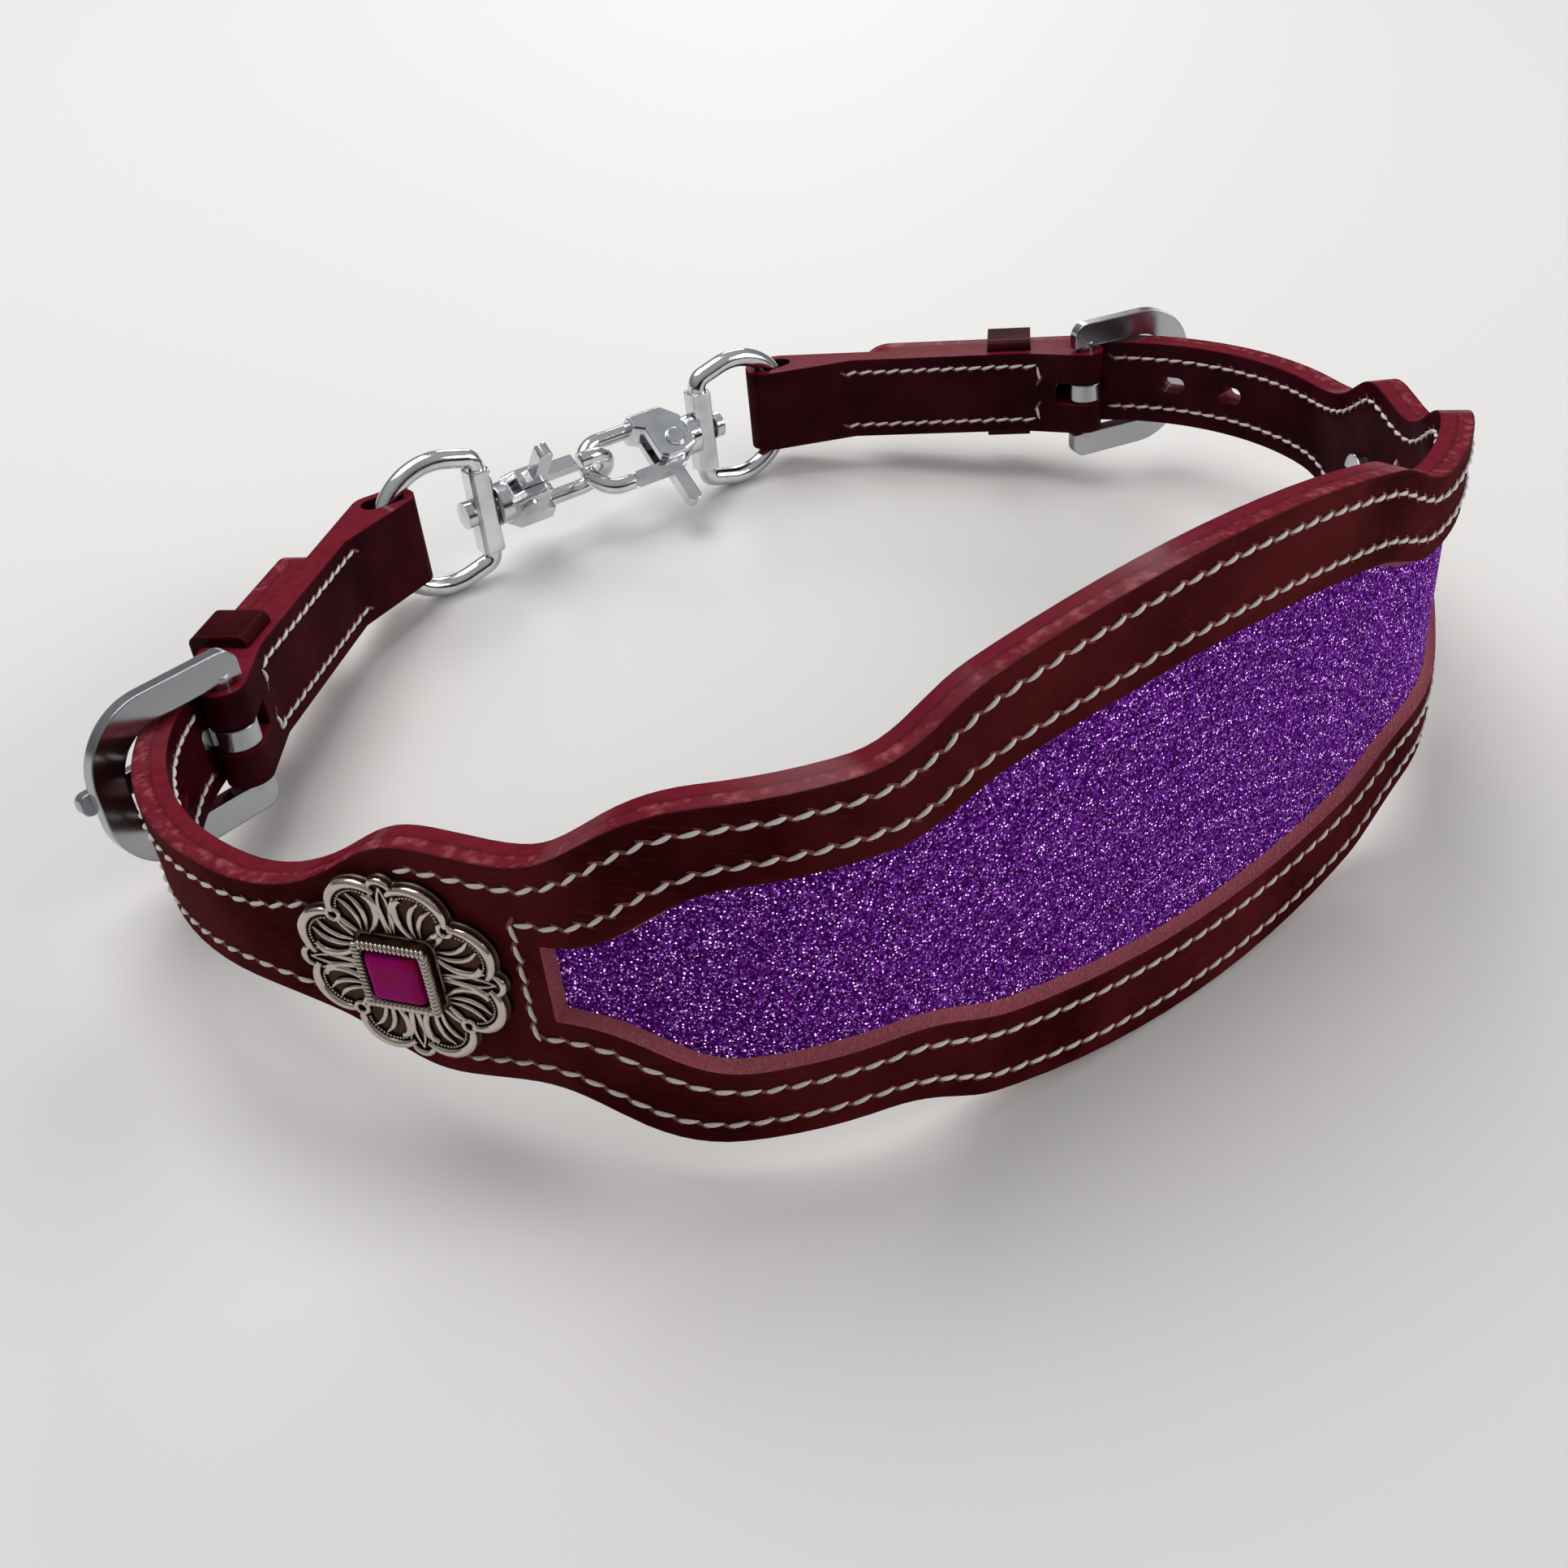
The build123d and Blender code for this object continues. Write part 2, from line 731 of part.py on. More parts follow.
plain_pairs = (
    chape_right, keeper_right, buckle_frame_right, buckle_tongue_right, swivel_eye_right,
    concho_right, concho_stone_right, concho_screw_right,
)
snap_pairs = (snap_hook_right, snap_gate_right, gate_rivet_right)
pieces = [panel_face.part, panel_lining.part, glitter_inlay.part]
for pair in plain_pairs:
    pieces.append(pair.part)
    pieces.append(mirrored(pair.part, pair.part.label.replace("right", "left")))
for pair in snap_pairs:
    pieces.append(pair.part)
    pieces.append(linked(pair.part, pair.part.label.replace("right", "left")))

# ======================================================================= lean back onto the floor
lean = degrees(atan((crown_height - eye_outer) / (chain_y - leather)))
tip_back = Location((0, 0, 0), (-lean, 0, 0))
leaned_boxes = [piece.moved(tip_back).bounding_box() for piece in pieces]
shift = Vector(
    -(min(b.min.X for b in leaned_boxes) + max(b.max.X for b in leaned_boxes)) / 2,
    -(min(b.min.Y for b in leaned_boxes) + max(b.max.Y for b in leaned_boxes)) / 2,
    -min(b.min.Z for b in leaned_boxes),
)
stand_up = Location(shift) * tip_back

os.makedirs("parts", exist_ok=True)
for piece in pieces:
    standing = piece.moved(stand_up)
    standing.label = piece.label
    export_step(standing, "parts/" + piece.label + ".step")


def on_floor(point):
    """A point of the collar frame as it stands on the floor."""
    return (stand_up * Location(point)).position


def turned(direction):
    """A direction of the collar frame as it stands on the floor."""
    return on_floor(direction) - on_floor((0, 0, 0))


print("lean", round(lean, 4), "shift", shift)
for name, point in (
    ("bar", bar_point), ("eye pivot", eye_pivot), ("eye bar", eye_bar), ("end", end_point),
    ("gate pivot", snap_plane.from_local_coords((gate_pivot, gate_pivot_height, 0))),
    ("hook middle", snap_plane.from_local_coords((hook_centre, 0, 0))),
    ("seat", face_plane(seat_middle).origin),
):
    print(name, on_floor(point))
print("axis across", turned((0, 0, 1)), "gate axis", turned(snap_plane.z_dir))
print("heading", turned(heading), "inward", turned(inward), "buckle", turned(buckle_axis))
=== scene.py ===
# %% [markdown]
# # A show noseband strap, dressed over its CAD model
# The CAD model holds the leather, the hardware and the joints.  This script gives them their
# finish and adds what a solid modeller leaves out: waxed thread, the nap of a raw edge, rope
# wire and scroll relief.

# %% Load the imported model
import json
import math
import random

import bpy
import numpy as np
from mathutils import Matrix, Vector
from mathutils.bvhtree import BVHTree


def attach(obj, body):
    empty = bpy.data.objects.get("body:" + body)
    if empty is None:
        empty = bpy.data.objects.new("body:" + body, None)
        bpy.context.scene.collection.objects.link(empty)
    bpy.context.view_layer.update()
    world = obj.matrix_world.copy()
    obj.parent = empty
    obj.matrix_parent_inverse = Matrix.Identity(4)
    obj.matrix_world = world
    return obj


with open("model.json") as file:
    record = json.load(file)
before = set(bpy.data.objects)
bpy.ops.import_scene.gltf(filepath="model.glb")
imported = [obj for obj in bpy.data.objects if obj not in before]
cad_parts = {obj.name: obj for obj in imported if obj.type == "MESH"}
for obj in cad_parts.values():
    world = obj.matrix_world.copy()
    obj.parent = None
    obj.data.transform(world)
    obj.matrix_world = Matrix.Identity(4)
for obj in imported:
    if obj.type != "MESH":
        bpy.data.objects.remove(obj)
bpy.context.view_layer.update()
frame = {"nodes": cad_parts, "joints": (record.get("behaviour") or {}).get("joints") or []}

nodes = frame["nodes"]
mm = 0.001
joint_at = {joint["name"]: Vector(joint["pos_m"]) for joint in frame["joints"]}
bpy.ops.object.select_all(action="DESELECT")

# %% [markdown]
# ## Camera
# The camera stands to the left in front of the strap and looks down at it, close enough for a
# strong perspective.  A heading, a pitch and a small roll are turned one after another.

# %% Camera
heading, look_down, roll = math.radians(37.7), math.radians(41.3), math.radians(0.21)
bpy.ops.object.camera_add(location=(-0.15903, -0.18958, 0.19799))
camera = bpy.context.object
turned = Matrix.Rotation(-heading, 4, "Z") @ Matrix.Rotation(math.pi / 2 - look_down, 4, "X")
turned = turned @ Matrix.Rotation(roll, 4, "Z")
camera.rotation_euler = turned.to_euler()
camera.data.sensor_width = 36
camera.data.lens = 36.1
camera.data.clip_start = 0.005
bpy.context.scene.camera = camera
bpy.context.scene.view_settings.view_transform = "Standard"
print("camera", tuple(camera.location), "lens", camera.data.lens)

# %% [markdown]
# ## Shader maths as expressions
# A node tree is easier to read as arithmetic.  `Value` wraps one socket and turns `a * b + c`
# into Math nodes, and `Paint.node` adds any other node from its settings and its inputs.


# %% A small language for materials
class Value:
    """One output socket that can be used in arithmetic."""

    def __init__(self, paint, socket):
        self.paint, self.socket = paint, socket

    def math(self, operation, first, second):
        return self.paint.node("Math", {"operation": operation}, {0: first, 1: second})

    def __add__(self, other):
        return self.math("ADD", self, other)

    def __sub__(self, other):
        return self.math("SUBTRACT", self, other)

    def __mul__(self, other):
        return self.math("MULTIPLY", self, other)

    def __rsub__(self, other):
        return self.math("SUBTRACT", other, self)

    def __gt__(self, other):
        return self.math("GREATER_THAN", self, other)

    __radd__ = __add__


class Paint:
    """One material and its node tree."""

    def __init__(self, name):
        self.material = bpy.data.materials.new(name)
        self.material.use_nodes = True
        self.tree = self.material.node_tree
        self.tree.nodes.clear()
        self.place = self.node("TexCoord", out="Object")

    def node(self, kind, settings=None, inputs=None, out=0):
        made = self.tree.nodes.new("ShaderNode" + kind)
        for name, value in (settings or {}).items():
            if name == "stops":
                self.stops(made.color_ramp, value)
            else:
                setattr(made, name, value)
        for key, value in (inputs or {}).items():
            socket = made.inputs[key] if isinstance(key, int) else self.find(made.inputs, key)
            if isinstance(value, Value):
                self.tree.links.new(value.socket, socket)
            else:
                socket.default_value = value
        outputs = made.outputs
        return Value(self, outputs[out] if isinstance(out, int) else self.find(outputs, out))

    def find(self, sockets, key):
        return next(s for s in sockets if key in (s.identifier, s.name))

    def stops(self, ramp, stops):
        for _ in stops[2:]:
            ramp.elements.new(0.5)
        for element, (position, colour) in zip(ramp.elements, stops):
            element.position = position
            element.color = (*colour, 1)

    def mix(self, amount, first, second):
        first = first if isinstance(first, Value) else (*first, 1)
        second = second if isinstance(second, Value) else (*second, 1)
        return self.node(
            "Mix",
            {"data_type": "RGBA"},
            {"Factor_Float": amount, "A_Color": first, "B_Color": second},
            "Result_Color",
        )

    def noise(self, scale, detail=4.0, place=None, rough=0.55):
        return self.node(
            "TexNoise",
            {},
            {"Vector": place or self.place, "Scale": scale, "Detail": detail, "Roughness": rough},
            "Fac",
        )

    def stretch(self, scale):
        """Object coordinates scaled by a different amount each way."""
        return self.node("Mapping", {}, {"Vector": self.place, "Scale": scale})

    def ramp(self, amount, low, high):
        return self.node("MapRange", {}, {"Value": amount, "From Min": low, "From Max": high})

    def dot(self, first, second):
        return self.node(
            "VectorMath", {"operation": "DOT_PRODUCT"}, {0: first, 1: second}, "Value"
        )

    def soft_edges(self, radius):
        """Surface normal as it would be with every sharp edge rounded."""
        return self.node("Bevel", {"samples": 6}, {"Radius": radius}, "Normal")

    def bump(self, height, strength, distance, normal=None):
        inputs = {"Height": height, "Strength": strength, "Distance": distance}
        if normal:
            inputs["Normal"] = normal
        return self.node("Bump", {}, inputs)

    def finish(self, **sockets):
        names = {name.replace("_", " ").title(): value for name, value in sockets.items()}
        for name, value in names.items():
            if isinstance(value, tuple) and len(value) == 3:
                names[name] = (*value, 1)
        names = {name.replace("Ior", "IOR"): value for name, value in names.items()}
        surface = self.node("BsdfPrincipled", {}, names, "BSDF")
        output = self.tree.nodes.new("ShaderNodeOutputMaterial")
        self.tree.links.new(surface.socket, output.inputs["Surface"])
        return self.material


# %% [markdown]
# ## Floor and light
# A plain pale floor, a large soft light overhead and two weaker ones, from the right and from
# behind.  The sky is darker near the horizon, so that bright metal has more than white to show.
# The view transform is Standard, so a colour renders about as it is written.

# %% Floor and light
bpy.ops.mesh.primitive_plane_add(size=6)
floor = bpy.context.object
floor.name = "floor"
floor_paint = Paint("pale_floor")
floor.data.materials.append(floor_paint.finish(base_color=(0.72, 0.70, 0.68), roughness=0.7))

world = bpy.data.worlds.new("sky")
bpy.context.scene.world = world
world.use_nodes = True
sky = world.node_tree.nodes["Background"]
gradient = world.node_tree.nodes.new("ShaderNodeValToRGB")
direction = world.node_tree.nodes.new("ShaderNodeTexCoord")
split = world.node_tree.nodes.new("ShaderNodeSeparateXYZ")
gradient.color_ramp.elements[0].color = (0.27, 0.262, 0.258, 1)
gradient.color_ramp.elements[1].position = 0.75
gradient.color_ramp.elements[1].color = (0.85, 0.87, 0.9, 1)
world.node_tree.links.new(direction.outputs["Generated"], split.inputs[0])
world.node_tree.links.new(split.outputs["Z"], gradient.inputs[0])
world.node_tree.links.new(gradient.outputs[0], sky.inputs["Color"])
sky.inputs["Strength"].default_value = 0.46

for name, where, size, power in (
    ("overhead", (-0.1, 0.5, 1.1), 0.9, 10),
    ("side", (1.0, -0.75, 0.6), 0.6, 7),
    ("behind", (0.7, 0.9, 0.5), 0.35, 3),
):
    bpy.ops.object.light_add(type="AREA", location=where)
    lamp = bpy.context.object
    lamp.name = name
    lamp.data.size = size
    lamp.data.energy = power
    lamp.rotation_euler = (Vector((0, 0, 0.03)) - lamp.location).to_track_quat("-Z", "Y").to_euler()

# %% [markdown]
# ## The strap as a flat pattern
# Stitch lines are marked out on flat leather.  The strap was bent from flat too, in a front
# arc, a flank arc, a straight seat for the concho, a bend and a straight end, so a point of the
# pattern (length along the strap, height, depth) can be carried onto the loop and back.

# %% Flat pattern to loop and back
runs = ((52 * mm, 7.2), (56 * mm, 48.3), (36 * mm, 0), (79 * mm, 80.1), (90 * mm, 0))
bar_station = 223 * mm
concho_station = 128.5 * mm
window_end = 107 * mm
bar_depth = 9.58 * mm
lean = math.radians(8.3715)
lie_back = Matrix.Rotation(-lean, 3, "X")


def collar_point(station, height, depth):
    """Point and direction along the strap, standing upright."""
    side = -1 if station < 0 else 1
    point, angle, left = Vector((0, 0, 0)), 0.0, abs(station)
    for length, turn in runs:
        part = min(left, length)
        if turn:
            radius = length / math.radians(turn)
            swept = part / radius
            centre = point + Vector((-math.sin(angle), math.cos(angle), 0)) * radius
            angle += swept
            point = centre - Vector((-math.sin(angle), math.cos(angle), 0)) * radius
        else:
            point = point + Vector((math.cos(angle), math.sin(angle), 0)) * part
        left -= part
    inward = Vector((-math.sin(angle), math.cos(angle), 0))
    point = point + inward * depth + Vector((0, 0, height))
    along = Vector((math.cos(angle), math.sin(angle), 0))
    return (
        Vector((side * point.x, point.y, point.z)),
        Vector((along.x, side * along.y, 0)),
        Vector((side * inward.x, inward.y, 0)),
    )


upright_bar, _, _ = collar_point(bar_station, 0, bar_depth)
front_middle = joint_at["right_buckle_frame"] - lie_back @ upright_bar
across = lie_back @ Vector((0, 0, 1))


def on_loop(station, height, depth=0.0):
    """Point, direction along the strap and inward direction on the leaning loop."""
    point, along, inward = collar_point(station, height, depth)
    return lie_back @ point + front_middle, lie_back @ along, lie_back @ inward


def on_pattern(place):
    """Station, height and depth of a point of the leaning loop."""
    local = lie_back.transposed() @ (place - front_middle)
    side, flat = (-1 if local.x < 0 else 1), Vector((abs(local.x), local.y, 0))
    best, start, angle, done = None, Vector((0, 0, 0)), 0.0, 0.0
    for length, turn in runs:
        along = Vector((math.cos(angle), math.sin(angle), 0))
        inward = Vector((-along.y, along.x, 0))
        if turn:
            radius = length / math.radians(turn)
            centre = start + inward * radius
            arm = flat - centre
            swept = math.atan2(arm.dot(along), -arm.dot(inward))
            went, depth = swept * radius, radius - arm.length
            angle += math.radians(turn)
            start = centre + Vector((math.sin(angle), -math.cos(angle), 0)) * radius
        else:
            went, depth = (flat - start).dot(along), (flat - start).dot(inward)
            start = start + along * length
        if -1e-5 <= went <= length + 1e-5 and (best is None or abs(depth) < abs(best[2])):
            best = (side * (done + went), local.z, depth)
        done += length
    return best


test = on_pattern(on_loop(0.15, 0.01, 0.002)[0])
print("front middle", tuple(front_middle), "there and back", test)

# %% [markdown]
# ## The cut edges of the leather
# The outline and the window of the face leather are read from the CAD piece itself, so the
# stitch lines follow the real cut.  On the outer face only cut edges have vertices, and at
# each place along the strap the highest one belongs to the outline.

# %% Outline and window of the face leather
cut = [on_pattern(vertex.co) for vertex in nodes["panel_face"].data.vertices]
cut = [(s, h) for s, h, d in (c for c in cut if c) if abs(d) < 0.05 * mm and h > 4 * mm]
cut = [(abs(s), h) for s, h in cut if abs(s) < bar_station + 20 * mm]
outline_cut, window_cut = [], []
for s, h in cut:
    hidden = any(abs(s - other) < 4 * mm and higher > h + 5 * mm for other, higher in cut)
    (window_cut if hidden else outline_cut).append((s, h))
outline_cut = [(s, h) for s, h in outline_cut if s > 0]
window_cut = [(s, h) for s, h in window_cut if s < window_end - 1 * mm]


def edge_line(points, low, high, step=1.0 * mm):
    """Evenly spaced heights of a cut edge between two stations."""
    points = sorted(set((round(s, 6), round(h, 6)) for s, h in points))
    stations = np.arange(low, high + step / 2, step)
    return stations, np.interp(stations, [p[0] for p in points], [p[1] for p in points])


def inset(stations, heights, distance):
    """The same line moved square to itself."""
    slope = np.gradient(heights, stations)
    length = np.sqrt(1 + slope**2)
    return stations + slope / length * distance, heights - distance / length


print("outline points", len(outline_cut), "window points", len(window_cut))

# %% Stitch lines on the flat pattern
edge_gap = 3.6 * mm
window_gap = 3.4 * mm
strap_half = 9.5 * mm
tip_station = bar_station + 54 * mm
line_s, line_h = edge_line(outline_cut, 0, bar_station - 8 * mm)
row_s, row_h = inset(line_s, line_h, edge_gap)
corner = 4.6 * mm
row_top = strap_half - edge_gap
turns = np.linspace(0, math.pi / 2, 8)
tip_s = tip_station - edge_gap - corner + corner * np.sin(turns)
tip_h = row_top - corner + corner * np.cos(turns)
half_s = np.concatenate([row_s, [bar_station, bar_station + 20 * mm], tip_s])
half_h = np.concatenate([row_h, [row_top, row_top], tip_h])
upper = list(zip(-half_s[::-1], half_h[::-1])) + list(zip(half_s[1:], half_h[1:]))
outer_row = upper + [(s, -h) for s, h in reversed(upper)]

line_s, line_h = edge_line(window_cut, 0, window_end - 2 * mm)
row_s, row_h = inset(line_s, line_h, -window_gap)
row_s = np.append(row_s, window_end + window_gap)
row_h = np.append(row_h, row_h[-1])
upper = list(zip(-row_s[::-1], row_h[::-1])) + list(zip(row_s[1:], row_h[1:]))
inner_row = upper + [(s, -h) for s, h in reversed(upper)]


def paced(line, pitch, closed=True):
    """Points at an even pitch along a line, with the direction there."""
    points = np.array(line + line[:1] if closed else line)
    lengths = np.concatenate([[0], np.cumsum(np.linalg.norm(np.diff(points, axis=0), axis=1))])
    count = max(2, round(lengths[-1] / pitch))
    marks = (np.arange(count) + 0.5) * lengths[-1] / count
    place = [np.interp(marks, lengths, points[:, i]) for i in (0, 1)]
    ahead = [np.interp(marks + 0.3 * mm, lengths, points[:, i]) for i in (0, 1)]
    return [
        ((s, h), (a - s, b - h)) for s, h, a, b in zip(place[0], place[1], ahead[0], ahead[1])
    ]


stitch_pitch = 3.6 * mm
outer_marks, inner_marks = paced(outer_row, stitch_pitch), paced(inner_row, stitch_pitch)
print("outer row", len(outer_marks), "inner row", len(inner_marks))

# %% [markdown]
# ## Waxed thread
# A saddle stitch shows as a short slim lozenge that dives into a slanted slit at each end.
# One is shaped from a sphere: stretched, its ends bent down and one of them thinned, then
# copied along every line.


# %% One stitch and one awl slit
def shape_of(maker):
    """Vertices and faces of a primitive that is then thrown away."""
    bpy.ops.object.select_all(action="DESELECT")
    maker()
    made = bpy.context.object
    bpy.ops.object.transform_apply(location=True, rotation=True, scale=True)
    points = np.array([vertex.co[:] for vertex in made.data.vertices])
    faces = [tuple(face.vertices) for face in made.data.polygons]
    bpy.data.objects.remove(made)
    return points, faces


half_stitch = 1.62 * mm


def stitch_maker():
    bpy.ops.mesh.primitive_uv_sphere_add(segments=10, ring_count=8, radius=1)
    stitch = bpy.context.object
    stitch.rotation_euler = (0, math.pi / 2, 0)
    stitch.scale = (0.36 * mm, 0.44 * mm, half_stitch)


def slit_maker():
    bpy.ops.mesh.primitive_circle_add(vertices=10, radius=1, fill_type="NGON")
    bpy.context.object.scale = (1.0 * mm, 0.27 * mm, 1)


stitch_points, stitch_faces = shape_of(stitch_maker)
toward_end = stitch_points[:, 0] / half_stitch
stitch_points[:, 2] -= 0.32 * mm * toward_end**2
stitch_points[:, 1] *= 0.76 + 0.22 * toward_end
slit_points, slit_faces = shape_of(slit_maker)
print("stitch faces", len(stitch_faces))


def stamped(name, shape, frames):
    """One object holding a copy of a small shape in each frame."""
    points, faces = shape
    corners, polygons = [], []
    for frame_at in frames:
        first = len(corners)
        turned_points = points @ np.array(frame_at.to_3x3()).T + np.array(frame_at.translation)
        corners.extend(turned_points.tolist())
        polygons.extend([tuple(first + i for i in face) for face in faces])
    mesh = bpy.data.meshes.new(name)
    mesh.from_pydata(corners, [], polygons)
    mesh.update()
    made = bpy.data.objects.new(name, mesh)
    bpy.context.scene.collection.objects.link(made)
    for face in mesh.polygons:
        face.use_smooth = True
    return made


# %% Press a line of stitches onto a piece
surfaces = {}


def surface_of(node):
    if node not in surfaces:
        surfaces[node] = BVHTree.FromObject(nodes[node], bpy.context.evaluated_depsgraph_get())
    return surfaces[node]


def pressed(row, node, from_inside, lift, lean_angle, keep=lambda s, h: True, jitter=0.06):
    """Frames on a piece's surface: x along the stitch, z out of the leather."""
    dice = random.Random(len(row) + (7 if from_inside else 0))
    frames = []
    for (s, h), (ds, dh) in row:
        if not keep(s, h):
            continue
        base, along, inward = on_loop(s, h)
        reach = 25 * mm if from_inside else -40 * mm
        looking = inward * (-1 if from_inside else 1)
        hit, normal, _, _ = surface_of(node).ray_cast(base + inward * reach, looking)
        if hit is None:
            continue
        flow = along * ds + across * dh
        flow = (flow - normal * flow.dot(normal)).normalized()
        flow.rotate(Matrix.Rotation(lean_angle + dice.uniform(-jitter, jitter), 3, normal))
        sideways = normal.cross(flow)
        frame_at = Matrix((flow, sideways, normal)).transposed().to_4x4()
        frame_at.translation = hit + normal * lift
        frames.append(frame_at)
    return frames


thread_paint = Paint("waxed_thread")
fibre = thread_paint.noise(2600, 3)
thread = thread_paint.finish(
    base_color=thread_paint.mix(fibre, (0.52, 0.46, 0.44), (0.92, 0.87, 0.84)),
    roughness=0.5,
    normal=thread_paint.bump(fibre, 0.6, 0.0002),
)
# An awl slit is a flat mark: its near-black tone is painted shade inside the hole, its reddish-brown tone
# the cut leather.
slit_paint = Paint("awl_slit")
slit_shade_and_leather = slit_paint.finish(
    base_color=slit_paint.mix(slit_paint.noise(1600), (0.035, 0.008, 0.006), (0.30, 0.090, 0.055)),
    roughness=0.8,
)


def sew(name, row, node, from_inside=False, keep=lambda s, h: True, slant=0.19):
    """Thread and slits of one stitch line, riding on the collar."""
    stitches = pressed(row, node, from_inside, 0.22 * mm, slant, keep)
    thread_piece = stamped(name, (stitch_points, stitch_faces), stitches)
    thread_piece.data.materials.append(thread)
    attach(thread_piece, "collar")
    slits = []
    for frame_at in stitches:
        slit = frame_at @ Matrix.Translation((1.78 * mm, -0.22 * mm, -0.14 * mm))
        slits.append(slit @ Matrix.Rotation(-0.75, 4, "Z") @ Matrix.Diagonal((1.5, 1.35, 1.1, 1)))
    holes = stamped(name + "_slits", (slit_points, slit_faces), slits)
    holes.data.materials.append(slit_shade_and_leather)
    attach(holes, "collar")
    print(name, len(stitches), "stitches")


# %% Sew the panel and the billets
keeper_from, keeper_to = bar_station + 11.6 * mm, bar_station + 23.4 * mm
concho_clear = 16.6 * mm


def open_outside(s, h):
    """Outer face: not under a concho or a keeper."""
    apart = math.hypot(abs(s) - concho_station, h)
    return apart > concho_clear and not keeper_from < abs(s) < keeper_to


def open_inside(s, h):
    """Inner face: only as far as the chape that lies on it."""
    return abs(s) < bar_station - 6 * mm


back_slant = 0.1
sew("outer_stitching", outer_marks, "panel_face", keep=open_outside)
sew("window_stitching", inner_marks, "panel_face", keep=open_outside)
sew("outer_stitching_back", outer_marks, "panel_lining", True, open_inside, back_slant)
sew("window_stitching_back", inner_marks, "panel_lining", True, open_inside, back_slant)

# %% Sew the chapes
chape_row = 6.5 * mm
chape_pitch = 3.3 * mm
for side, word in ((1, "right"), (-1, "left")):
    for level in (chape_row, -chape_row):
        line = [(side * (bar_station + u * mm), level) for u in (11, 56)]
        tag = "upper" if level > 0 else "lower"
        row = paced(line, chape_pitch, False)
        inside = -1 if level > 0 else 1
        turned_in = (side * (bar_station + 10.6 * mm), level + inside * 1.6 * mm)
        row.append((turned_in, (0.0, inside * 0.3 * mm)))
        sew(f"chape_stitching_{word}_{tag}", row, f"chape_{word}", True)

# %% [markdown]
# ## Leather
# The face leather is a waxed oxblood hide: dark, slightly blotchy, with fine fibres that run
# along it.  Its outer edge is burnished crimson and its window is cut raw, so the cut walls
# get colours of their own.  A wall is told from the face by how far its normal points across
# the strap, and the window's wall looks towards the middle line while the outline's looks away.

# %% Face leather
across_axis = tuple(across)
middle_shift = -front_middle.dot(across)


def wall_masks(paint, low=0.35, high=0.6):
    """How much a point is on a cut wall, and on a wall that faces the middle line."""
    facing = paint.dot(paint.node("NewGeometry", out="True Normal"), across_axis)
    height = paint.dot(paint.place, across_axis) + middle_shift
    wall = paint.ramp(paint.node("Math", {"operation": "ABSOLUTE"}, {0: facing}), low, high)
    return wall, wall * ((facing * height) * -1 > 0.0)


def worn_and_shaded_rim(paint, radius):
    """High where an edge is close, for rubbed wear and for painted shade: the rounded normal leaves the
    flat one there.
    """
    flat = paint.node("NewGeometry", out="True Normal")
    return paint.ramp(1 - paint.dot(paint.soft_edges(radius), flat), 0.004, 0.12)


face = Paint("oxblood_face")
wall, inner_wall = wall_masks(face)
blotch = face.ramp(face.noise(42, 5), 0.38, 0.66)
fibres = face.noise(1, 6, face.stretch((180, 180, 1500)), 0.7)
grain = face.noise(2300, 4)
skin = face.mix(blotch, (0.034, 0.0022, 0.0034), (0.090, 0.0095, 0.0110))
skin = face.mix(face.ramp(fibres, 0.55, 0.75) * 0.35, skin, (0.15, 0.026, 0.024))
rim = worn_and_shaded_rim(face, 1.1 * mm)
skin = face.mix(rim * 0.5, skin, (0.12, 0.012, 0.016))
burnish = face.noise(1, 4, face.stretch((500, 500, 160)))
edge_colour = face.mix(burnish, (0.080, 0.0040, 0.0100), (0.21, 0.0150, 0.0280))
# Painted highlight: pale pink patches on the burnished edge, which also stand for its paler fibres.
edge_colour = face.mix(face.ramp(face.noise(460, 5), 0.50, 0.72) * 0.6, edge_colour, (0.42, 0.110, 0.120))
suede = face.noise(1900, 5)
raw_colour = face.mix(suede, (0.16, 0.022, 0.030), (0.44, 0.13, 0.13))
# Painted shade: the burnished cut wall is darkened near both rims, as a rounded edge is shaded there.
edge_colour = face.mix(rim * 0.55, edge_colour, (0.050, 0.0030, 0.0060))
colour = face.mix(wall, skin, edge_colour)
colour = face.mix(inner_wall, colour, raw_colour)
texture = grain * 0.5 + fibres * 0.8 + suede * inner_wall * 2.5
oxblood_face = face.finish(
    base_color=colour,
    roughness=0.38 + blotch * 0.1 + inner_wall * 0.5 - wall * 0.1,
    specular_ior_level=0.0,
    coat_weight=0.03 + wall * 0.2,
    coat_roughness=0.2,
    normal=face.bump(texture, 0.7, 0.00013, face.soft_edges(1.3 * mm)),
)
nodes["panel_face"].data.materials.clear()
nodes["panel_face"].data.materials.append(oxblood_face)

